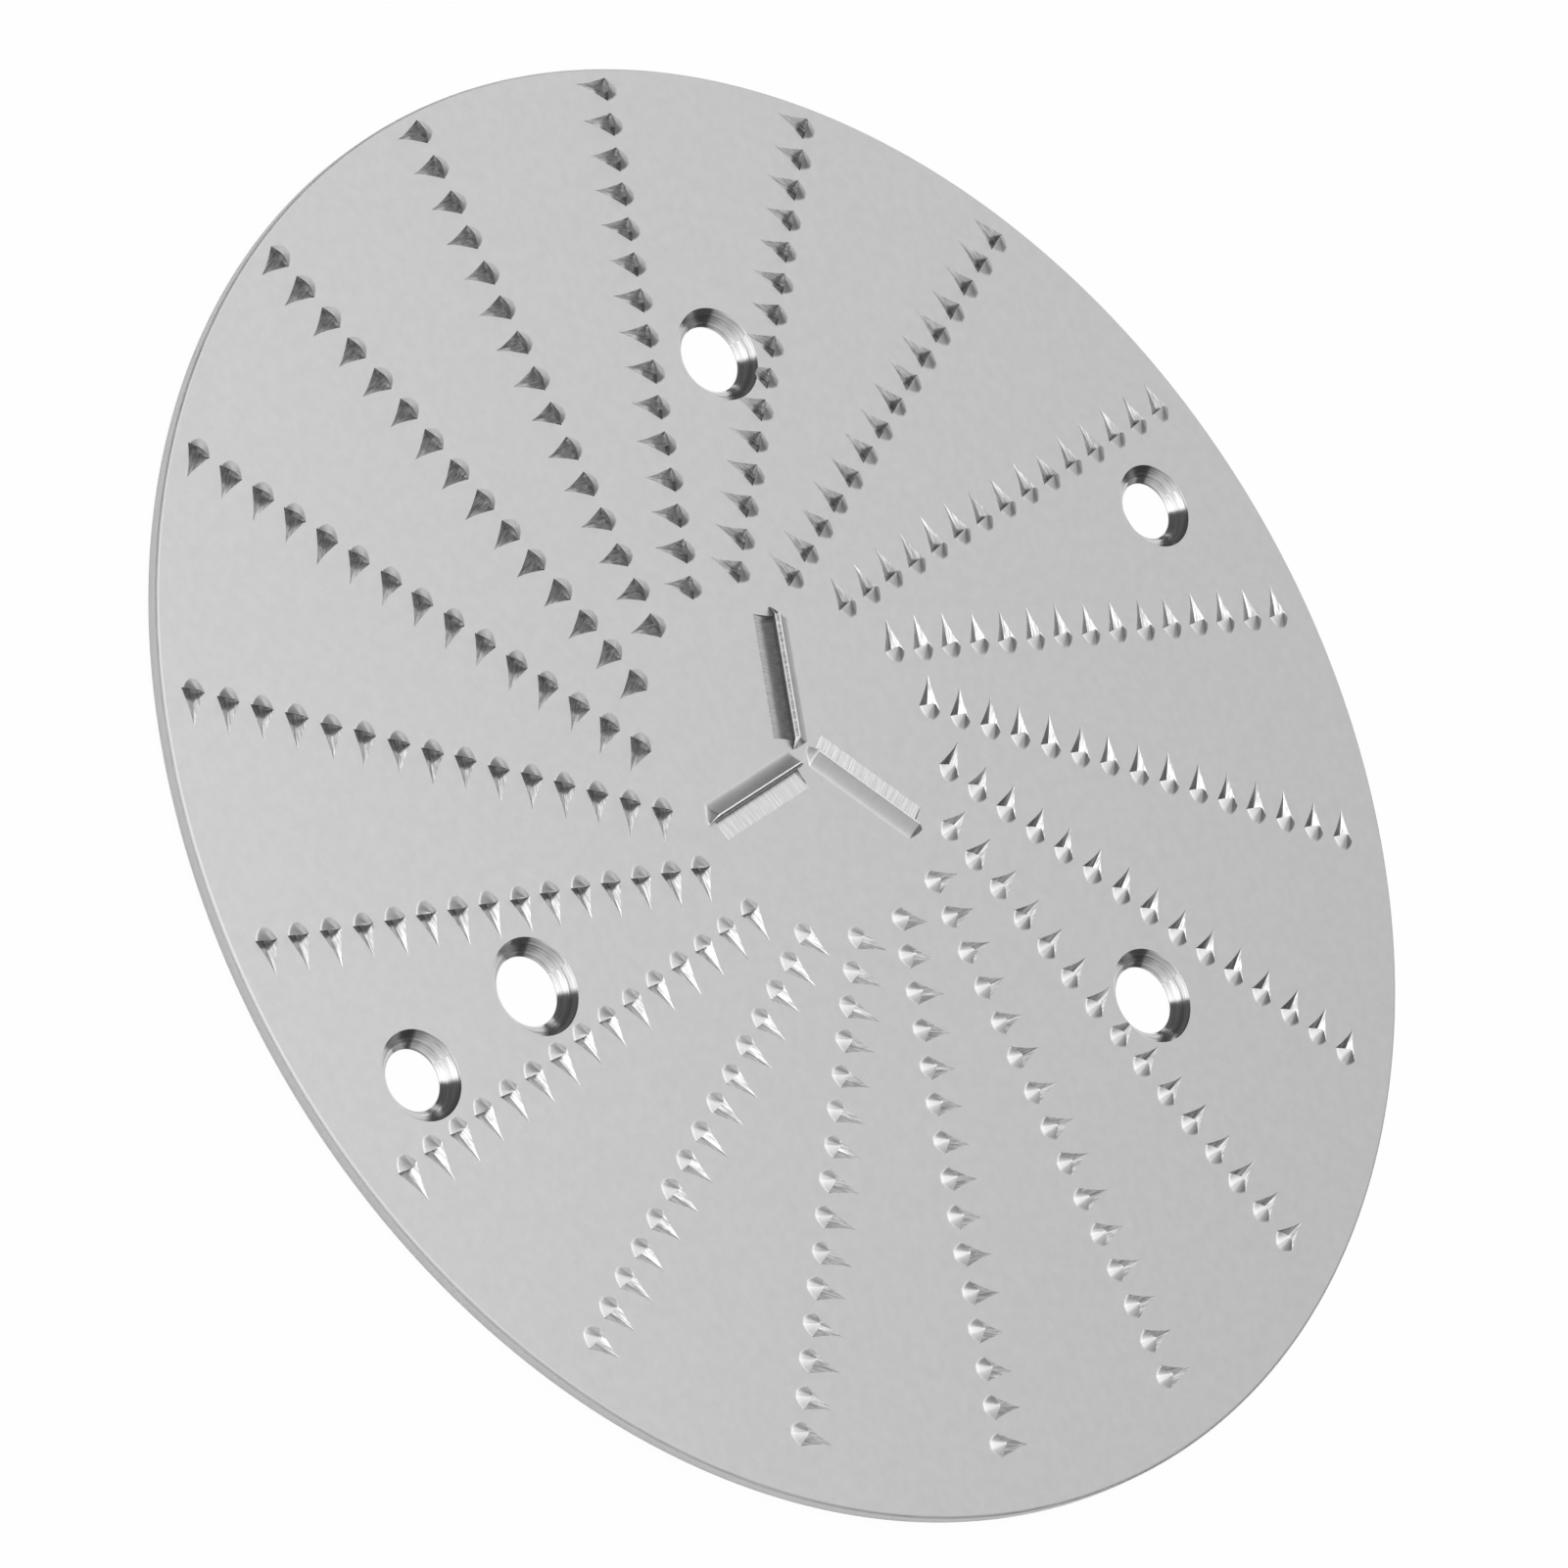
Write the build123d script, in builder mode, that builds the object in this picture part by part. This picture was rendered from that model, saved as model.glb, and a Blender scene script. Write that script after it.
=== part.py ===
from build123d import *
import os
from math import cos, hypot, radians, sqrt

# Juicer shredder blade: one flat disc of stainless sheet whose upper face is
# gouged with a pointed chisel. Every stroke leaves a pit and turns up a tooth
# behind it. The underside lies on Z = 0, and the rim is centred on the Z axis.

# Sheet
DISC_DIAMETER = 177.0
SHEET_THICKNESS = 1.8
RIM_BEVEL = 0.4

# Rows of teeth, which start at their own centre, off the rim's
TOOTH_CENTRE = (0.43, 2.71)
ROW_COUNT = 18
ROW_TURN = -2.36         # angle of the first row from the X axis
ROW_SWING = 1.33         # uneven dividing: the most that a row is turned from its even place
ROW_SWING_TURN = 158.7   # angle at which a row is turned on by that much
ROW_OFFSET = 11.2        # from the tooth centre sideways to each row's line
ROW_START = 19.5         # from the tooth centre along the row to its first tooth
TOOTH_GAP = 1.34         # plain sheet between two teeth of a row
RIM_LAND = 0.1           # least plain sheet between a tooth and the rim

# Tooth: the burr stands behind the crest line, the pit runs out before it
TOOTH_WIDTH = 3.15
TOOTH_HEIGHT = 1.1
TOOTH_LEAN = 0.36        # lean of the cutting face out over its pit, run over rise
BURR_LENGTH = 1.5
BURR_SHOULDER = 0.76     # share of the half width that is left at half length
BURR_BACK = 0.3          # share of the half width that is left at the back
PIT_LENGTH = 4.35
PIT_DEPTH = 0.6
PIT_WAIST = 2.3          # from the crest to where the pit narrows to its tail
PIT_WAIST_SHARE = 0.4    # share of the half width that is left at the waist

# Hub blades: angle, distance of the inner end, and sideways shift of the crest
HUB_BLADES = ((57.0, 1.7, 0.4), (176.5, 1.1, 1.45), (296.0, 2.1, 1.9))
BLADE_LENGTH = 15.3
BLADE_HEIGHT = 1.2
BLADE_BACK = 2.4
BLADE_HOLLOW = 0.1       # drop of the hollow back below a straight slope
BLADE_TIP = 1.2          # run-out of the ridge past each end of its slot
SLOT_WIDTH = 2.6
SLOT_DEPTH = 0.5

# Screw holes, countersunk
SINK_ANGLE = 90
INNER_HOLE_COUNT = 3
INNER_HOLE_TURN = 60     # angle of the first inner hole from the X axis
INNER_HOLE_CIRCLE = 104.7
INNER_HOLE_BORE = 8.2
INNER_HOLE_SINK = 11.6
OUTER_HOLE_COUNT = 2
OUTER_HOLE_INSET = 15.3  # from the rim's radius in to the outer holes' circle
OUTER_HOLE_BORE = 7.2
OUTER_HOLE_SINK = 10.6

# Sizes that follow
disc_radius = DISC_DIAMETER / 2
half_tooth = TOOTH_WIDTH / 2
even_turns = [ROW_TURN + 360 / ROW_COUNT * i for i in range(ROW_COUNT)]
row_turns = [turn + ROW_SWING * cos(radians(turn - ROW_SWING_TURN)) for turn in even_turns]
row_places = [Location((0, 0, 0), (0, 0, turn)) for turn in row_turns]
tooth_pitch = TOOTH_WIDTH + TOOTH_GAP
tooth_reach = disc_radius - RIM_BEVEL - RIM_LAND - half_tooth - hypot(*TOOTH_CENTRE)
row_length = sqrt(tooth_reach**2 - ROW_OFFSET**2) - ROW_START
teeth_per_row = int(row_length / tooth_pitch) + 1
tooth_spots = [(ROW_START + tooth_pitch * i, ROW_OFFSET) for i in range(teeth_per_row)]
outer_hole_radius = disc_radius - OUTER_HOLE_INSET

# Pit of one tooth: X along the row, Y towards the tail, Z up from the sheet
with BuildPart() as tooth_pit:
    with BuildSketch():
        with BuildLine():
            waist = half_tooth * PIT_WAIST_SHARE
            Polyline(
                (half_tooth, 0),
                (waist, PIT_WAIST),
                (0, PIT_LENGTH),
                (-waist, PIT_WAIST),
                (-half_tooth, 0),
                close=True,
            )
        make_face()
    pit_mouth = tooth_pit.pending_faces[0]
    pit_bottom = Vertex(0, -TOOTH_LEAN * PIT_DEPTH, -PIT_DEPTH)
    loft(sections=[pit_mouth, pit_bottom], ruled=True)

# Burr of one tooth, whose front carries on the pit's and hangs over it
with BuildPart() as tooth_burr:
    with BuildSketch():
        with BuildLine():
            shoulder = half_tooth * BURR_SHOULDER
            back = half_tooth * BURR_BACK
            Polyline(
                (half_tooth, 0),
                (shoulder, -BURR_LENGTH / 2),
                (back, -BURR_LENGTH),
                (-back, -BURR_LENGTH),
                (-shoulder, -BURR_LENGTH / 2),
                (-half_tooth, 0),
                close=True,
            )
        make_face()
    burr_foot = tooth_burr.pending_faces[0]
    burr_peak = Vertex(0, TOOTH_LEAN * TOOTH_HEIGHT, TOOTH_HEIGHT)
    loft(sections=[burr_foot, burr_peak], ruled=True)

# Slot of one hub blade: X outward along the blade, Y across its slot
with BuildPart() as blade_slot:
    with BuildSketch(Plane.YZ):
        with BuildLine():
            Polyline((0, 0), (SLOT_WIDTH, 0), (0, -SLOT_DEPTH), close=True)
        make_face()
    extrude(amount=BLADE_LENGTH)

# Ridge of one hub blade, with a hollow back and an end that runs out each way
with BuildPart() as blade_ridge:
    with BuildSketch(Plane.YZ):
        with BuildLine():
            back_middle = (-BLADE_BACK / 2, BLADE_HEIGHT / 2 - BLADE_HOLLOW)
            Line((-BLADE_BACK, 0), (0, 0))
            Line((0, 0), (0, BLADE_HEIGHT))
            ThreePointArc((0, BLADE_HEIGHT), back_middle, (-BLADE_BACK, 0))
        make_face()
    extrude(amount=BLADE_LENGTH)
    inner_end = blade_ridge.faces().sort_by(Axis.X)[0]
    outer_end = blade_ridge.faces().sort_by(Axis.X)[-1]
    loft(sections=[inner_end, Vertex(-BLADE_TIP, 0, 0)], ruled=True)
    loft(sections=[outer_end, Vertex(BLADE_LENGTH + BLADE_TIP, 0, 0)], ruled=True)

with BuildPart() as shredder_disc:
    # Blank
    Cylinder(disc_radius, SHEET_THICKNESS, align=(Align.CENTER, Align.CENTER, Align.MIN))
    rim_edges = shredder_disc.edges().filter_by(GeomType.CIRCLE)
    chamfer(rim_edges, RIM_BEVEL)

    # Hub blades
    with Locations((*TOOTH_CENTRE, SHEET_THICKNESS)):
        for angle, inner_end_distance, crest_shift in HUB_BLADES:
            with PolarLocations(0, 1, angle):
                with Locations((inner_end_distance, crest_shift)):
                    add(blade_slot.part, mode=Mode.SUBTRACT)
                    add(blade_ridge.part)

    # Teeth
    with Locations((*TOOTH_CENTRE, SHEET_THICKNESS)):
        with Locations(*row_places):
            with Locations(*tooth_spots):
                add(tooth_pit.part, mode=Mode.SUBTRACT)
                add(tooth_burr.part)

    # Screw holes, cut through whatever teeth they meet
    with Locations((0, 0, SHEET_THICKNESS)):
        with PolarLocations(INNER_HOLE_CIRCLE / 2, INNER_HOLE_COUNT, INNER_HOLE_TURN):
            CounterSinkHole(INNER_HOLE_BORE / 2, INNER_HOLE_SINK / 2, counter_sink_angle=SINK_ANGLE)
        with PolarLocations(outer_hole_radius, OUTER_HOLE_COUNT):
            CounterSinkHole(OUTER_HOLE_BORE / 2, OUTER_HOLE_SINK / 2, counter_sink_angle=SINK_ANGLE)

shredder_disc.part.label = "shredder_disc"

os.makedirs("parts", exist_ok=True)
export_step(shredder_disc.part, "parts/shredder_disc.step")
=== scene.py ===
import math
import random

import bmesh
import bpy
import numpy as np
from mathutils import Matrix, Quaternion, Vector
from mathutils.geometry import delaunay_2d_cdt


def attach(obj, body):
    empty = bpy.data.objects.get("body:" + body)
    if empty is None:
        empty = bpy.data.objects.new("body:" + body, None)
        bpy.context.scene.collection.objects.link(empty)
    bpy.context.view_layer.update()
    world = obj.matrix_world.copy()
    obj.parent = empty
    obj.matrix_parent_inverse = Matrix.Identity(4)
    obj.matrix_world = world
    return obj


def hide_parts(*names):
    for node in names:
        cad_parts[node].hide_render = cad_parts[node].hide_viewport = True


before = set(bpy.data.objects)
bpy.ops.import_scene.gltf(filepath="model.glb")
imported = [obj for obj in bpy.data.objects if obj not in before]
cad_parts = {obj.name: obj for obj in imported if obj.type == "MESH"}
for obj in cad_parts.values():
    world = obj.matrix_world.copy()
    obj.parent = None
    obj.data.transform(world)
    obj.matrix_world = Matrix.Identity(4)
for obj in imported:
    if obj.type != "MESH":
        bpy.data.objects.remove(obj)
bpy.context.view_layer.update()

# Sizes of the part in millimetres, as in its solid model
MM = 0.001
DISC_RADIUS = 88.47      # just inside the solid model's faceted rim
SHEET = 1.8
RIM_BEVEL = 0.4
TOOTH_CENTRE = (0.43, 2.71)
ROW_COUNT = 18
ROW_TURN = -2.36
ROW_SWING = 1.33
ROW_SWING_TURN = 158.7
ROW_OFFSET = 11.2
ROW_START = 19.5
TEETH_PER_ROW = 15
TOOTH_PITCH = 4.49
HALF_TOOTH = 1.575
TOOTH_HEIGHT = 1.1
TOOTH_LEAN = 0.36
BURR_LENGTH = 1.5
BURR_BACK = 0.3
PIT_LENGTH = 4.35
PIT_DEPTH = 0.6
BLADE_LENGTH = 15.3
BLADE_HEIGHT = 1.2
BLADE_BACK = 2.4
BLADE_TIP = 1.2
SLOT_WIDTH = 2.6
SLOT_DEPTH = 0.5
SINK_ANGLE = 90

# Hub blades: angle, distance of the inner end, sideways shift of the crest
HUB_BLADES = ((57.0, 1.7, 0.4), (176.5, 1.1, 1.45), (296.0, 2.1, 1.9))

# Screw holes: distance from the centre, bore, mouth of the countersink, angles
INNER_HOLES = (52.35, 8.2, 11.6, (60, 180, 300))
OUTER_HOLES = (73.2, 7.2, 10.6, (0, 180))

# Finer forms of the teeth, which only the visual model has
PIT_CURVE = 1.3
KEEL_CURVE = 1.6
CREST_CURVE = 1.2
FOOT_CURVE = 1.2
FRONT_HOLLOW = 0.12
BURR_BULGE = 0.1
STREAK = 0.04
CREST_STEPS = 6
SIDE_STEPS = 4
BACK_STEPS = 3
WALL_ROWS = 5
FRONT_ROWS = 3
BOTTOM_ROUNDS = 8        # rounds that find where the leaning front meets the pit's walls
FOOT_LEVEL = SHEET + 0.001

# Finer forms of the hub blades
END_WALL = 0.05
TIP_STEPS = 5
TIP_CURVE = 0.8
RUN_STEPS = 96
FLOOR_STEPS = 5
LIP_STEPS = 3
LIP_DROP = 0.26
LIP_WIDTH = 0.34
LIP_BEVEL = 0.1
UNDERCUT = 0.6
CREST_LAND = 0.16
BACK_RINGS = 9
BACK_CURVE = 1.65
CHATTER = 0.015
SERRATION = 0.12

# Finer forms of the rim and the screw holes
RIM_STEPS = 360
ROUND_STEPS = 6
HOLE_STEPS = 144
SINK_RINGS = 7
RING_RIPPLE = 0.02
RING_MARK_SCALE = 10
CUTTER_BELOW = 1.0
CUTTER_ABOVE = 3.0

# Seeded differences: shares of the full size, and then millimetres and degrees either way
SEED = 11
WIDTH_SPREAD = (0.95, 1.0)
LENGTH_SPREAD = (0.9, 1.03)
HEIGHT_SPREAD = (0.88, 0.98)
DEPTH_SPREAD = (0.9, 1.05)
CREST_SPREAD = (0.9, 1.0)
BACK_SPREAD = (0.92, 1.03)
RIDGE_SPREAD = (0.98, 1.0)
ALONG_SPREAD = 0.05
ACROSS_SPREAD = 0.08
TWIST_SPREAD = 3.0
MARK_SHIFT = 50          # most that the marks of a tooth or blade are moved against the others'

# Triangulation: the whole hull is filled, and points this close are one, also after the cuts
FILL_HULL = 0
MERGE_GAP = 1e-6
CUT_MERGE_GAP = 0.0001

# Kinds of face, which decide the material and where an edge is sharp
(
    FLAT, BURR, PIT_LEFT, PIT_RIGHT, FRONT,
    BLADE_FRONT, BLADE_FLOOR, BLADE_END, BLADE_LIP, BLADE_EDGE,
    RIM, BORE, SINK,
) = range(13)
(
    FACE_STEEL, CUT_STEEL, SLOT_STEEL, SHADED_TOOTH_FRONT_STEEL,
    SHADED_BLADE_FRONT_STEEL, EDGE_HIGHLIGHT_STEEL, TURNED_STEEL, RIM_STEEL,
) = range(8)
MATERIAL_OF = {
    FLAT: FACE_STEEL,
    BURR: FACE_STEEL,
    # The pit walls' steel is greyer than the face, which paints shade into the pits
    PIT_LEFT: CUT_STEEL,
    PIT_RIGHT: CUT_STEEL,
    # Fronts of the teeth and hub blades take greys that paint the shade under their overhang
    FRONT: SHADED_TOOTH_FRONT_STEEL,
    BLADE_FRONT: SHADED_BLADE_FRONT_STEEL,
    BLADE_FLOOR: SLOT_STEEL,
    BLADE_END: CUT_STEEL,
    BLADE_LIP: CUT_STEEL,
    # The hub blades' edges take a near-white grey that paints a highlight along their crests
    BLADE_EDGE: EDGE_HIGHLIGHT_STEEL,
    # The rim's steel is lighter than the face, which paints light onto the side of the sheet
    RIM: RIM_STEEL,
    BORE: TURNED_STEEL,
    SINK: TURNED_STEEL,
}


class Patch:
    """A piece of relief with its own local frame: X along, Y across, Z up from the sheet's upper face."""

    def __init__(self):
        self.points = []
        self.faces = []
        self.kinds = []
        self.edge_loop = []

    def point(self, x, y, z):
        self.points.append((float(x), float(y), float(z)))
        return len(self.points) - 1

    def face(self, kind, *corners):
        ring = [c for i, c in enumerate(corners) if c != corners[i - 1]]
        if len(ring) > 2:
            self.faces.append(ring)
            self.kinds.append(kind)

    def strip(self, kind, low, high):
        """Quads between two rows of equal length."""
        for i in range(len(low) - 1):
            self.face(kind, low[i], low[i + 1], high[i + 1], high[i])


def tooth_patch(rng):
    """One gouged tooth: a V pit with a narrow tail, a front that hangs over it, and a burr behind."""
    half = HALF_TOOTH * rng.uniform(*WIDTH_SPREAD)
    length = PIT_LENGTH * rng.uniform(*LENGTH_SPREAD)
    height = TOOTH_HEIGHT * rng.uniform(*HEIGHT_SPREAD)
    depth = PIT_DEPTH * rng.uniform(*DEPTH_SPREAD)
    share = np.linspace(-1, 1, 2 * CREST_STEPS + 1)[1:-1]
    spread = np.abs(share)
    x = share * half

    def wall(y):
        left = 1 - y / length
        return -depth * left**KEEL_CURVE * (1 - spread / left**PIT_CURVE)

    mouth = length * (1 - spread ** (1 / PIT_CURVE))
    bottom = np.zeros_like(x)
    for _ in range(BOTTOM_ROUNDS):
        bottom = np.minimum(wall(TOOTH_LEAN * bottom), 0)
    crest = height * (1 - spread**CREST_CURVE)
    crest *= np.array([rng.uniform(*CREST_SPREAD) for _ in x])
    chatter = np.array([rng.uniform(-STREAK, STREAK) for _ in x])

    patch = Patch()
    left_end = patch.point(-half, 0, 0)
    right_end = patch.point(half, 0, 0)

    def add_row(y, z):
        return [left_end, *(patch.point(*p) for p in zip(x, y, z)), right_end]

    # Walls of the pit from its mouth down, then the front from the bottom up to the crest
    grid = []
    for k in range(WALL_ROWS + 1):
        t = k / WALL_ROWS
        y = mouth + (TOOTH_LEAN * bottom - mouth) * t
        grid.append(add_row(y, np.minimum(wall(y) + chatter * math.sin(math.pi * t), 0)))
    for k in range(1, FRONT_ROWS + 1):
        t = k / FRONT_ROWS
        z = bottom + (crest - bottom) * t
        grid.append(add_row(TOOTH_LEAN * z - FRONT_HOLLOW * math.sin(math.pi * t), z))
    middle = CREST_STEPS
    for j in range(len(grid) - 1):
        upper, lower = grid[j], grid[j + 1]
        if j < WALL_ROWS:
            patch.strip(PIT_LEFT, lower[: middle + 1], upper[: middle + 1])
            patch.strip(PIT_RIGHT, lower[middle:], upper[middle:])
        else:
            patch.strip(FRONT, lower, upper)

    # Back of the burr, in rays from its foot up to the peak
    crest_row = grid[-1]
    peak = crest_row[middle]
    peak_x, peak_y, peak_z = patch.points[peak]
    corner = (BURR_BACK * half, -BURR_LENGTH * rng.uniform(*BACK_SPREAD))
    right = []
    for i in range(1, SIDE_STEPS):
        t = i / SIDE_STEPS
        bulge = BURR_BULGE * math.sin(math.pi * t)
        right.append((half + (corner[0] - half) * t + bulge, corner[1] * t - bulge))
    back = [(corner[0] * (1 - 2 * i / BACK_STEPS), corner[1]) for i in range(BACK_STEPS + 1)]
    feet = right + back + [(-fx, fy) for fx, fy in right[::-1]]
    rays = [crest_row[:middle:-1]]
    for j, (fx, fy) in enumerate(feet):
        soft = math.sin(math.pi * (j + 1) / (len(feet) + 1))
        ray = []
        for k in range(CREST_STEPS):
            t = k / CREST_STEPS
            rise = (1 - soft) * (1 - (1 - t) ** CREST_CURVE) + soft * t**FOOT_CURVE
            ray.append(patch.point(fx + (peak_x - fx) * t, fy + (peak_y - fy) * t, peak_z * rise))
        rays.append(ray)
    rays.append(crest_row[:middle])
    for a, b in zip(rays, rays[1:]):
        ring_a, ring_b = a + [peak], b + [peak]
        for k in range(CREST_STEPS):
            patch.face(BURR, ring_a[k + 1], ring_b[k + 1], ring_b[k], ring_a[k])
    patch.edge_loop = [ray[0] for ray in rays[::-1]] + grid[0][-2:0:-1]
    return patch


def blade_patch(rng):
    """One hub blade: a slot with a sloping, streaked floor, and a ridge that runs out at both ends."""
    tips = [BLADE_TIP * (1 - i / TIP_STEPS) for i in range(1, TIP_STEPS)]
    run = [END_WALL + (BLADE_LENGTH - 2 * END_WALL) * i / RUN_STEPS for i in range(RUN_STEPS + 1)]
    stations = [-d for d in tips] + [0.0, *run, BLADE_LENGTH] + [BLADE_LENGTH + d for d in tips[::-1]]
    patch = Patch()
    start = patch.point(-BLADE_TIP, 0, 0)
    stop = patch.point(BLADE_LENGTH + BLADE_TIP, 0, 0)
    ridge = []
    floor = []
    for x in stations:
        past = max(0.0, -x, x - BLADE_LENGTH)
        scale = (1 - past / BLADE_TIP) ** TIP_CURVE
        cut = 0 < x < BLADE_LENGTH
        bottom = -SLOT_DEPTH * cut
        top = BLADE_HEIGHT * scale * rng.uniform(*RIDGE_SPREAD)
        foot = -BLADE_BACK * scale
        lip = LIP_WIDTH * scale
        edge = top - LIP_DROP * scale
        bevel = LIP_BEVEL * scale
        land = CREST_LAND * scale

        # Across the ridge, from the bottom of its front over the crest to the foot of its back
        column = []
        for k in range(LIP_STEPS + 1):
            t = k / LIP_STEPS
            inset = UNDERCUT * scale * (1 - t)
            column.append(patch.point(x, -inset, bottom + (edge - bevel - bottom) * t))
        column.append(patch.point(x, -bevel, edge))
        column.append(patch.point(x, -lip, top))
        for k in range(BACK_RINGS + 1):
            t = k / BACK_RINGS
            y = foot * t - (lip + land) * (1 - t)
            column.append(patch.point(x, y, top * (1 - t) ** BACK_CURVE))
        ridge.append(column)

        # Across the slot's floor, from its outer edge to the ridge
        if 0 <= x <= BLADE_LENGTH:
            chatter = rng.uniform(0, CHATTER) * cut
            reach = SLOT_WIDTH - rng.uniform(0, SERRATION) * cut
            cross = []
            for k in range(FLOOR_STEPS):
                t = k / FLOOR_STEPS
                y = reach * (1 - t) - UNDERCUT * t
                cross.append(patch.point(x, y, bottom * t - chatter * math.sin(math.pi * t)))
            floor.append([*cross, column[0]])

    profile_kinds = [BLADE_FRONT] * LIP_STEPS
    profile_kinds += [BLADE_EDGE, BLADE_LIP, BLADE_EDGE]
    profile_kinds += [BURR] * BACK_RINGS
    ends = [[start] * len(ridge[0]), *ridge, [stop] * len(ridge[0])]
    for a, b in zip(ends, ends[1:]):
        for k, kind in enumerate(profile_kinds):
            patch.face(kind, a[k], a[k + 1], b[k + 1], b[k])
    for i, (a, b) in enumerate(zip(floor, floor[1:])):
        kind = BLADE_END if i in (0, len(floor) - 2) else BLADE_FLOOR
        for k in range(FLOOR_STEPS):
            patch.face(kind, a[k], a[k + 1], b[k + 1], b[k])

    first_slot = len(tips)
    last_slot = first_slot + len(floor) - 1
    loop = [start] + [c[-1] for c in ridge] + [stop]
    loop += [ridge[i][0] for i in range(len(ridge) - 1, last_slot - 1, -1)]
    loop += floor[-1][-2::-1]
    loop += [f[0] for f in floor[-2:0:-1]]
    loop += floor[0][:-1]
    loop += [ridge[i][0] for i in range(first_slot, -1, -1)]
    patch.edge_loop = loop
    return patch


def turned(x, y, turn):
    c = math.cos(math.radians(turn))
    s = math.sin(math.radians(turn))
    return c * x - s * y, s * x + c * y


def placed(patch, turn, along, across, twist=0.0):
    """The patch's points in the disc's own frame."""
    p = np.array(patch.points)
    x, y = turned(p[:, 0], p[:, 1], twist)
    x, y = turned(x + along, y + across, turn)
    return np.column_stack((TOOTH_CENTRE[0] + x, TOOTH_CENTRE[1] + y, p[:, 2] + SHEET))


def ring_points(radius, steps):
    turn = [2 * math.pi * i / steps for i in range(steps)]
    return [(radius * math.cos(a), radius * math.sin(a)) for a in turn]


def steel_mesh(name, points, faces, kinds, local):
    """A mesh in metres, whose faces carry their kind, and local coordinates for the cut marks."""
    mesh = bpy.data.meshes.new(name)
    mesh.from_pydata([tuple(c * MM for c in p) for p in points], [], faces)
    mesh.attributes.new("kind", "INT", "FACE").data.foreach_set("value", kinds)
    layer = mesh.uv_layers.new(name="cut_marks")
    for loop in mesh.loops:
        layer.data[loop.index].uv = local[loop.vertex_index]
    return mesh


def relief(rng):
    """Every hub blade and tooth: its patch, and the patch's points in the disc's own frame."""
    patches = []
    for angle, along, across in HUB_BLADES:
        patch = blade_patch(rng)
        patches.append((patch, placed(patch, angle, along, across)))
    for row in range(ROW_COUNT):
        even = ROW_TURN + 360 / ROW_COUNT * row
        turn = even + ROW_SWING * math.cos(math.radians(even - ROW_SWING_TURN))
        for i in range(TEETH_PER_ROW):
            patch = tooth_patch(rng)
            along = ROW_START + TOOTH_PITCH * i + rng.uniform(-ALONG_SPREAD, ALONG_SPREAD)
            across = ROW_OFFSET + rng.uniform(-ACROSS_SPREAD, ACROSS_SPREAD)
            twist = rng.uniform(-TWIST_SPREAD, TWIST_SPREAD)
            patches.append((patch, placed(patch, turn, along, across, twist)))
    return patches


def disc_mesh(rng):
    """The whole sheet as one closed skin, with every tooth and blade joined into its upper face."""
    patches = relief(rng)

    # Flat part of the upper face, triangulated around the relief
    outline = ring_points(DISC_RADIUS - RIM_BEVEL, RIM_STEPS)
    flat_points = [Vector(p) for p in outline]
    loops = [list(range(RIM_STEPS))]
    for patch, world in patches:
        base = len(flat_points)
        flat_points += [Vector(world[i][:2]) for i in patch.edge_loop]
        loops.append(list(range(base, base + len(patch.edge_loop))))
    flat = delaunay_2d_cdt(flat_points, [], loops, FILL_HULL, MERGE_GAP)
    found, _, triangles, from_points, _, from_loops = flat
    seat = {}
    for new, olds in enumerate(from_points):
        for old in olds:
            seat[old] = new
    points = [(p.x, p.y, SHEET) for p in found]
    local = [(0.0, 0.0)] * len(points)
    faces = [list(t) for t, owners in zip(triangles, from_loops) if list(owners) == [0]]
    kinds = [FLAT] * len(faces)

    # Relief, whose edge points are the flat part's
    for (patch, world), loop in zip(patches, loops[1:]):
        number = {}
        for i, flat_index in zip(patch.edge_loop, loop):
            number[i] = seat[flat_index]
        shift = (rng.uniform(0, MARK_SHIFT), rng.uniform(0, MARK_SHIFT))
        for i, p in enumerate(world):
            if i not in number:
                number[i] = len(points)
                points.append(tuple(p))
                local.append((0.0, 0.0))
            local[number[i]] = (patch.points[i][0] + shift[0], patch.points[i][1] + shift[1])
        for ring, kind in zip(patch.faces, patch.kinds):
            faces.append([number[i] for i in ring])
            kinds.append(kind)

    # Rim and underside
    corner = [math.pi / 2 * i / ROUND_STEPS for i in range(1, ROUND_STEPS + 1)]
    rounding = [(RIM_BEVEL * (1 - math.sin(a)), RIM_BEVEL * (1 - math.cos(a))) for a in corner]
    profile = [(inset, SHEET - drop) for inset, drop in rounding]
    profile += [(inset, drop) for inset, drop in rounding[::-1]]
    profile.append((RIM_BEVEL, 0.0))
    above = [seat[i] for i in range(RIM_STEPS)]
    for inset, z in profile:
        below = [len(points) + i for i in range(RIM_STEPS)]
        points += [(px, py, z) for px, py in ring_points(DISC_RADIUS - inset, RIM_STEPS)]
        local += [(DISC_RADIUS * 2 * math.pi * i / RIM_STEPS, z) for i in range(RIM_STEPS)]
        for i in range(RIM_STEPS):
            j = (i + 1) % RIM_STEPS
            faces.append([above[i], below[i], below[j], above[j]])
            kinds.append(RIM)
        above = below
    faces.append(above[::-1])
    kinds.append(FLAT)
    return steel_mesh("toothed_disc", points, faces, kinds, local)


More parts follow.
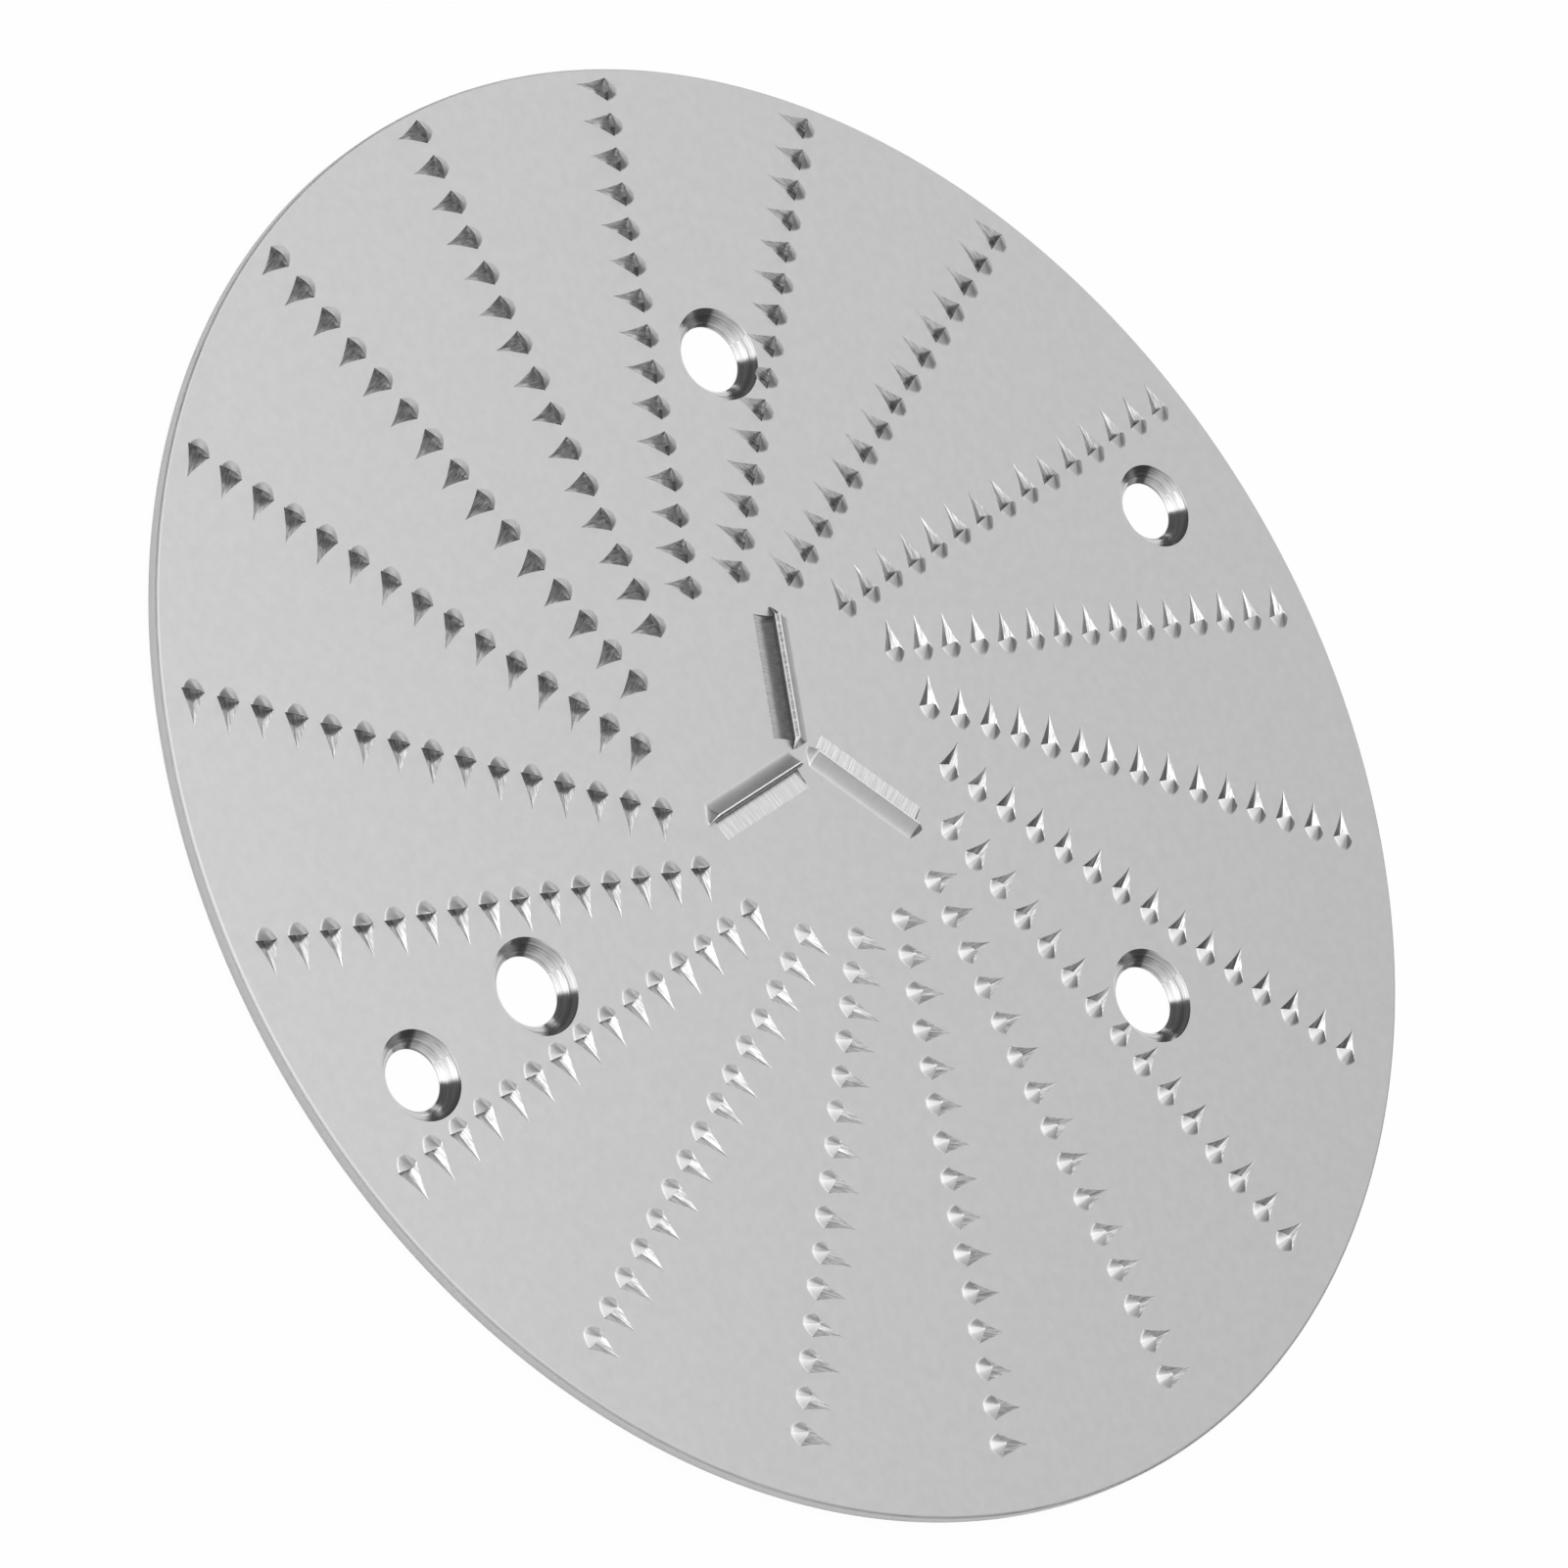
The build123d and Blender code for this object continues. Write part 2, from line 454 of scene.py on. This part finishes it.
def hole_cutter(rng, x, y, bore, sink):
    """A closed solid of revolution that cuts one countersunk hole, with the drill's rings on its cone."""
    land = SHEET - (sink - bore) / 2 / math.tan(math.radians(SINK_ANGLE / 2))
    profile = [(bore / 2, -CUTTER_BELOW), (bore / 2, land)]
    for i in range(1, SINK_RINGS):
        t = i / SINK_RINGS
        ripple = rng.uniform(-RING_RIPPLE, RING_RIPPLE)
        profile.append((bore / 2 + (sink - bore) / 2 * t + ripple, land + (SHEET - land) * t))
    profile += [(sink / 2, SHEET), (sink / 2, SHEET + CUTTER_ABOVE)]
    points = []
    faces = []
    kinds = []
    local = []
    for k, (r, z) in enumerate(profile):
        for i, (px, py) in enumerate(ring_points(r, HOLE_STEPS)):
            points.append((x + px, y + py, z))
            local.append((r * RING_MARK_SCALE, i / HOLE_STEPS))
        if k:
            low = (k - 1) * HOLE_STEPS
            high = k * HOLE_STEPS
            for i in range(HOLE_STEPS):
                j = (i + 1) % HOLE_STEPS
                faces.append([low + i, low + j, high + j, high + i])
                kinds.append(BORE if k == 1 else SINK)
    faces.append(list(range(HOLE_STEPS))[::-1])
    faces.append([len(points) - HOLE_STEPS + i for i in range(HOLE_STEPS)])
    kinds += [SINK, SINK]
    return steel_mesh("hole_cutter", points, faces, kinds, local)


def new_object(name, data):
    obj = bpy.data.objects.new(name, data)
    bpy.context.scene.collection.objects.link(obj)
    return obj


def cut(obj, cutter):
    """Subtracts the cutter from the object's mesh and removes the cutter."""
    step = obj.modifiers.new("cut", "BOOLEAN")
    step.operation = "DIFFERENCE"
    step.solver = "EXACT"
    step.object = cutter
    depsgraph = bpy.context.evaluated_depsgraph_get()
    old = obj.data
    obj.data = bpy.data.meshes.new_from_object(obj.evaluated_get(depsgraph))
    obj.modifiers.clear()
    bpy.data.meshes.remove(old)
    bpy.data.objects.remove(cutter)


def merge_close(mesh):
    """Joins the points that a cut left in one place."""
    bm = bmesh.new()
    bm.from_mesh(mesh)
    bmesh.ops.remove_doubles(bm, verts=bm.verts, dist=CUT_MERGE_GAP * MM)
    bm.to_mesh(mesh)
    bm.free()


def finish_faces(mesh):
    """Materials by kind, sharp edges where two kinds meet, and burrs whose feet run into the sheet."""
    kind = np.zeros(len(mesh.polygons), np.int32)
    mesh.attributes["kind"].data.foreach_get("value", kind)
    seen = {}
    sharp = np.zeros(len(mesh.edges), bool)
    for poly in mesh.polygons:
        for loop_index in poly.loop_indices:
            edge = mesh.loops[loop_index].edge_index
            if edge in seen and seen[edge] != kind[poly.index]:
                sharp[edge] = True
            seen[edge] = kind[poly.index]
    mesh.polygons.foreach_set("use_smooth", np.ones(len(mesh.polygons), bool))
    mesh.polygons.foreach_set("material_index", [MATERIAL_OF[k] for k in kind])
    mesh.attributes.new("sharp_edge", "BOOLEAN", "EDGE").data.foreach_set("value", sharp)
    normals = [tuple(c.vector) for c in mesh.corner_normals]
    for poly in mesh.polygons:
        if kind[poly.index] == BURR:
            for loop_index in poly.loop_indices:
                if mesh.vertices[mesh.loops[loop_index].vertex_index].co.z < FOOT_LEVEL * MM:
                    normals[loop_index] = (0.0, 0.0, 1.0)
    mesh.normals_split_custom_set(normals)


def grey(value):
    return (value, value, value, 1)


class Nodes:
    """Short hand for building a node tree."""

    def __init__(self, tree):
        self.tree = tree
        tree.nodes.clear()

    def add(self, kind, **settings):
        node = self.tree.nodes.new(kind)
        for key, value in settings.items():
            if key in node.bl_rna.properties:
                setattr(node, key, value)
            else:
                node.inputs[key.replace("_", " ")].default_value = value
        return node

    def link(self, source, target):
        self.tree.links.new(source, target)

    def ramp(self, source, stops):
        """Greys over the source: pairs of a place and the level there."""
        node = self.add("ShaderNodeValToRGB")
        elements = node.color_ramp.elements
        elements[0].position = stops[0][0]
        elements[1].position = stops[-1][0]
        for position, _ in stops[1:-1]:
            elements.new(position)
        for element, (_, level) in zip(elements, stops):
            element.color = grey(level)
        self.link(source, node.inputs["Fac"])
        return node.outputs["Color"]

    def shifted(self, source, low, high):
        """The source, stretched from low and high to zero and one."""
        node = self.add("ShaderNodeMapRange", From_Min=low, From_Max=high)
        self.link(source, node.inputs["Value"])
        return node.outputs["Result"]

    def product(self, first, *others):
        """The product of some colours."""
        for other in others:
            node = self.add("ShaderNodeMixRGB", blend_type="MULTIPLY", Fac=1.0)
            self.link(first, node.inputs["Color1"])
            self.link(other, node.inputs["Color2"])
            first = node.outputs["Color"]
        return first

    def mixed(self, share, colour, level):
        """The colour, turned to a grey level by a share."""
        node = self.add("ShaderNodeMixRGB", Color2=grey(level))
        self.link(share, node.inputs["Fac"])
        self.link(colour, node.inputs["Color1"])
        return node.outputs["Color"]

    def noise(self, where, scale, detail, harshness):
        node = self.add("ShaderNodeTexNoise", Scale=scale, Detail=detail, Roughness=harshness)
        self.link(where, node.inputs["Vector"])
        return node.outputs["Fac"]

    def bump(self, height, strength, distance, shader):
        node = self.add("ShaderNodeBump", Strength=strength, Distance=distance)
        self.link(height, node.inputs["Height"])
        self.link(node.outputs["Normal"], shader.inputs["Normal"])


def new_steel(name):
    """A bare metal: its material, its node tree and its shader."""
    material = bpy.data.materials.new(name)
    material.use_nodes = True
    n = Nodes(material.node_tree)
    out = n.add("ShaderNodeOutputMaterial")
    shader = n.add("ShaderNodeBsdfPrincipled", Metallic=1.0)
    n.link(shader.outputs["BSDF"], out.inputs["Surface"])
    return material, n, shader


def face_steel():
    """Satin sheet: soft mottling and a fine tumbled grain."""
    material, n, shader = new_steel("stainless_face")
    where = n.add("ShaderNodeTexCoord").outputs["Object"]
    mottle = n.noise(where, scale=700.0, detail=5.0, harshness=0.65)
    n.link(n.ramp(mottle, ((0.3, 0.615), (0.7, 0.659))), shader.inputs["Base Color"])
    n.link(n.ramp(mottle, ((0.3, 0.395), (0.7, 0.42))), shader.inputs["Roughness"])
    grain = n.noise(where, scale=2600.0, detail=3.0, harshness=0.6)
    n.bump(grain, strength=0.2, distance=0.00004, shader=shader)
    return material


def marked_steel(name, stretch, detail, harshness, greys, roughness, bump=None):
    """Metal with marks that follow its cut: their fineness along and across it, and greys over them.

    The roughness is one number, or pairs of a place and a level over the marks like the greys. The bump
    is a strength and a distance.
    """
    material, n, shader = new_steel(name)
    cut_marks = n.add("ShaderNodeUVMap", uv_map="cut_marks").outputs["UV"]
    stretched = n.add("ShaderNodeMapping", Scale=(*stretch, 1.0))
    n.link(cut_marks, stretched.inputs["Vector"])
    marks = n.noise(stretched.outputs["Vector"], 1.0, detail, harshness)
    n.link(n.ramp(marks, greys), shader.inputs["Base Color"])
    if isinstance(roughness, tuple):
        n.link(n.ramp(marks, roughness), shader.inputs["Roughness"])
    else:
        shader.inputs["Roughness"].default_value = roughness
    if bump:
        n.bump(marks, *bump, shader)
    return material


def disc_steels():
    """The disc's materials, in the order of their numbers."""
    # Freshly gouged metal, with streaks that run along the cut, in greys below the face's that paint shade
    # into the pits
    gouged = marked_steel(
        "stainless_cut",
        stretch=(5.0, 0.5),
        detail=4.0,
        harshness=0.65,
        greys=((0.36, 0.34), (0.64, 0.72)),
        roughness=((0.3, 0.3), (0.7, 0.2)),
        bump=(0.25, 0.00006),
    )
    # Bright floor of a hub blade's slot, with fine streaks across it
    slot = marked_steel(
        "stainless_slot",
        stretch=(6.0, 0.3),
        detail=4.0,
        harshness=0.7,
        greys=((0.35, 0.58), (0.65, 0.78)),
        roughness=0.27,
    )
    # Torn fronts of the teeth, and of the hub blades, whose dark greys, darker on the blades, are painted
    # shade under the overhang
    shaded_tooth_front = marked_steel(
        "stainless_tooth_front_painted_shade",
        stretch=(4.0, 4.0),
        detail=4.0,
        harshness=0.6,
        greys=((0.35, 0.46), (0.65, 0.74)),
        roughness=0.4,
    )
    shaded_blade_front = marked_steel(
        "stainless_blade_front_painted_shade",
        stretch=(4.0, 4.0),
        detail=4.0,
        harshness=0.6,
        greys=((0.35, 0.28), (0.65, 0.48)),
        roughness=0.4,
    )
    # Bright edges of the hub blades: a near-white grey that paints a highlight along the crest
    painted_edge_highlight = marked_steel(
        "stainless_edge_painted_highlight",
        stretch=(3.0, 3.0),
        detail=4.0,
        harshness=0.6,
        greys=((0.3, 0.8), (0.5, 0.97)),
        roughness=0.5,
    )
    # Drilled metal with fine rings
    drilled = marked_steel(
        "stainless_turned",
        stretch=(0.3, 2.0),
        detail=4.0,
        harshness=0.7,
        greys=((0.38, 0.34), (0.62, 0.85)),
        roughness=((0.35, 0.2), (0.65, 0.1)),
        bump=(0.3, 0.00003),
    )
    # Edge of the sheet, with faint lines round the disc, in a grey lighter than the face's that paints
    # light onto the side
    rim = marked_steel(
        "stainless_rim",
        stretch=(0.3, 8.0),
        detail=3.0,
        harshness=0.6,
        greys=((0.3, 0.65), (0.7, 0.75)),
        roughness=((0.3, 0.48), (0.7, 0.58)),
    )
    return (face_steel(), gouged, slot, shaded_tooth_front, shaded_blade_front, painted_edge_highlight, drilled, rim)


# Disc
rng = random.Random(SEED)
disc = new_object("toothed_disc", disc_mesh(rng))
for radius, bore, sink, turns in (INNER_HOLES, OUTER_HOLES):
    for turn in turns:
        hole_x, hole_y = turned(radius, 0.0, turn)
        cut(disc, new_object("hole_cutter", hole_cutter(rng, hole_x, hole_y, bore, sink)))
merge_close(disc.data)
for steel in disc_steels():
    disc.data.materials.append(steel)
finish_faces(disc.data)
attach(disc, "root")
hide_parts("shredder_disc")

# Floor: pale, white to the camera, and still able to take the disc's shadow
HALF_FLOOR = 3.0
FLOOR_LEVEL = -0.0002
FLOOR_GREY = 0.95
FLOOR_GLOW = 0.96        # share of the camera's view of the floor that is plain white
floor_corners = []
for side_x, side_y in ((-1, -1), (1, -1), (1, 1), (-1, 1)):
    floor_corners.append((side_x * HALF_FLOOR, side_y * HALF_FLOOR, FLOOR_LEVEL))
floor_mesh = bpy.data.meshes.new("floor")
floor_mesh.from_pydata(floor_corners, [], [(0, 1, 2, 3)])
floor = new_object("floor", floor_mesh)
floor_material = bpy.data.materials.new("floor_white")
floor_material.use_nodes = True
n = Nodes(floor_material.node_tree)
out = n.add("ShaderNodeOutputMaterial")
paint = n.add("ShaderNodeBsdfDiffuse", Color=grey(FLOOR_GREY))
glow = n.add("ShaderNodeEmission", Color=grey(1.0))
path = n.add("ShaderNodeLightPath")
glow_share = n.add("ShaderNodeMath", operation="MULTIPLY")
glow_share.inputs[1].default_value = FLOOR_GLOW
n.link(path.outputs["Is Camera Ray"], glow_share.inputs[0])
mix = n.add("ShaderNodeMixShader")
n.link(glow_share.outputs["Value"], mix.inputs["Fac"])
n.link(paint.outputs["BSDF"], mix.inputs[1])
n.link(glow.outputs["Emission"], mix.inputs[2])
n.link(mix.outputs["Shader"], out.inputs["Surface"])
floor_mesh.materials.append(floor_material)

# World: a soft studio, brightest overhead and at the horizon, with a window and some darker panels.
# Each range is a run of places and levels over X, Y or Z of the direction. X and Y are stretched, so
# that their middle is a half. X rises away from the camera, and Y rises to the left.
SKY_BY_HEIGHT = ((0.0, 1.05), (0.12, 1.0), (0.3, 0.65), (0.5, 0.62), (0.66, 0.76), (0.78, 0.99), (1.0, 1.1))
SKY_BY_SIDE = ((0.25, 0.62), (0.4, 0.84), (0.55, 1.14), (0.7, 1.32))
NEAR_DEPTH = ((0.28, 1.0), (0.46, 0.0))
FAR_DEPTH = ((0.72, 0.0), (0.8, 1.0))
WINDOW_LEVEL = 1.15
WINDOW_HEIGHT = ((0.33, 0.0), (0.42, 1.0), (0.75, 1.0), (0.9, 0.0))
SHADE_LEVEL = 0.08
SHADE_HEIGHT = ((0.33, 1.0), (0.42, 0.0))
FAR_PANEL_LEVEL = 0.3
FAR_LEFT_SIDE = ((0.62, 0.0), (0.67, 1.0))
FAR_LEFT_HEIGHT = ((0.2, 0.0), (0.35, 1.0), (0.64, 1.0), (0.7, 0.0))
FAR_RIGHT_SIDE = ((0.33, 1.0), (0.4, 0.0))
FAR_RIGHT_HEIGHT = ((0.15, 0.0), (0.25, 1.0), (0.45, 1.0), (0.55, 0.0))
LEFT_LEVEL = 0.08
LEFT_SIDE = ((0.78, 0.0), (0.82, 1.0))
LEFT_DEPTH = ((0.24, 0.0), (0.3, 1.0))
RIGHT_LEVEL = 0.12
RIGHT_SIDE = ((0.26, 1.0), (0.33, 0.0))
RIGHT_DEPTH = ((0.48, 0.0), (0.52, 1.0))
RIGHT_HEIGHT = ((0.45, 1.0), (0.6, 0.0))
world = bpy.data.worlds.new("studio")
bpy.context.scene.world = world
world.use_nodes = True
n = Nodes(world.node_tree)
out = n.add("ShaderNodeOutputWorld")
sky = n.add("ShaderNodeBackground")
direction = n.add("ShaderNodeTexCoord").outputs["Generated"]
split = n.add("ShaderNodeSeparateXYZ")
n.link(direction, split.inputs["Vector"])
x = n.shifted(split.outputs["X"], -1, 1)
y = n.shifted(split.outputs["Y"], -1, 1)
z = split.outputs["Z"]
near = n.ramp(x, NEAR_DEPTH)
far = n.ramp(x, FAR_DEPTH)
panels = (
    (WINDOW_LEVEL, near, n.ramp(z, WINDOW_HEIGHT)),
    (SHADE_LEVEL, near, n.ramp(z, SHADE_HEIGHT)),
    (FAR_PANEL_LEVEL, n.ramp(y, FAR_LEFT_SIDE), n.ramp(z, FAR_LEFT_HEIGHT), far),
    (FAR_PANEL_LEVEL, n.ramp(y, FAR_RIGHT_SIDE), n.ramp(z, FAR_RIGHT_HEIGHT), far),
    (LEFT_LEVEL, n.ramp(y, LEFT_SIDE), n.ramp(x, LEFT_DEPTH)),
    (RIGHT_LEVEL, n.ramp(y, RIGHT_SIDE), n.ramp(x, RIGHT_DEPTH), n.ramp(z, RIGHT_HEIGHT)),
)
room = n.ramp(z, SKY_BY_HEIGHT)
for level, *ranges in panels:
    room = n.mixed(n.product(*ranges), room, level)
n.link(n.product(room, n.ramp(y, SKY_BY_SIDE)), sky.inputs["Color"])
n.link(sky.outputs["Background"], out.inputs["Surface"])

# Lamp
LAMP_SIZE = 0.5
LAMP_ENERGY = 0.75
LAMP_PLACE = (0.13, 0.07, 0.9)
lamp_data = bpy.data.lights.new("overhead_softbox", "AREA")
lamp_data.shape = "SQUARE"
lamp_data.size = LAMP_SIZE
lamp_data.energy = LAMP_ENERGY
lamp = new_object("overhead_softbox", lamp_data)
lamp.location = LAMP_PLACE

# Camera, where the photograph was taken from
CAMERA_PLACE = Vector((-0.64978, 0.0635, 0.68247))
CAMERA_AIM = Vector((-0.00384, 0.00086, 0.0018))
CAMERA_ROLL = 59.84
CAMERA_SENSOR = 36.0
CAMERA_LENS = 188.9
camera_data = bpy.data.cameras.new("camera")
camera_data.sensor_width = CAMERA_SENSOR
camera_data.lens = CAMERA_LENS
camera = new_object("camera", camera_data)
camera.location = CAMERA_PLACE
camera.rotation_mode = "QUATERNION"
level_view = (CAMERA_AIM - CAMERA_PLACE).to_track_quat("-Z", "Y")
camera.rotation_quaternion = level_view @ Quaternion((0, 0, 1), math.radians(CAMERA_ROLL))
bpy.context.scene.camera = camera
bpy.context.scene.view_settings.view_transform = "Standard"
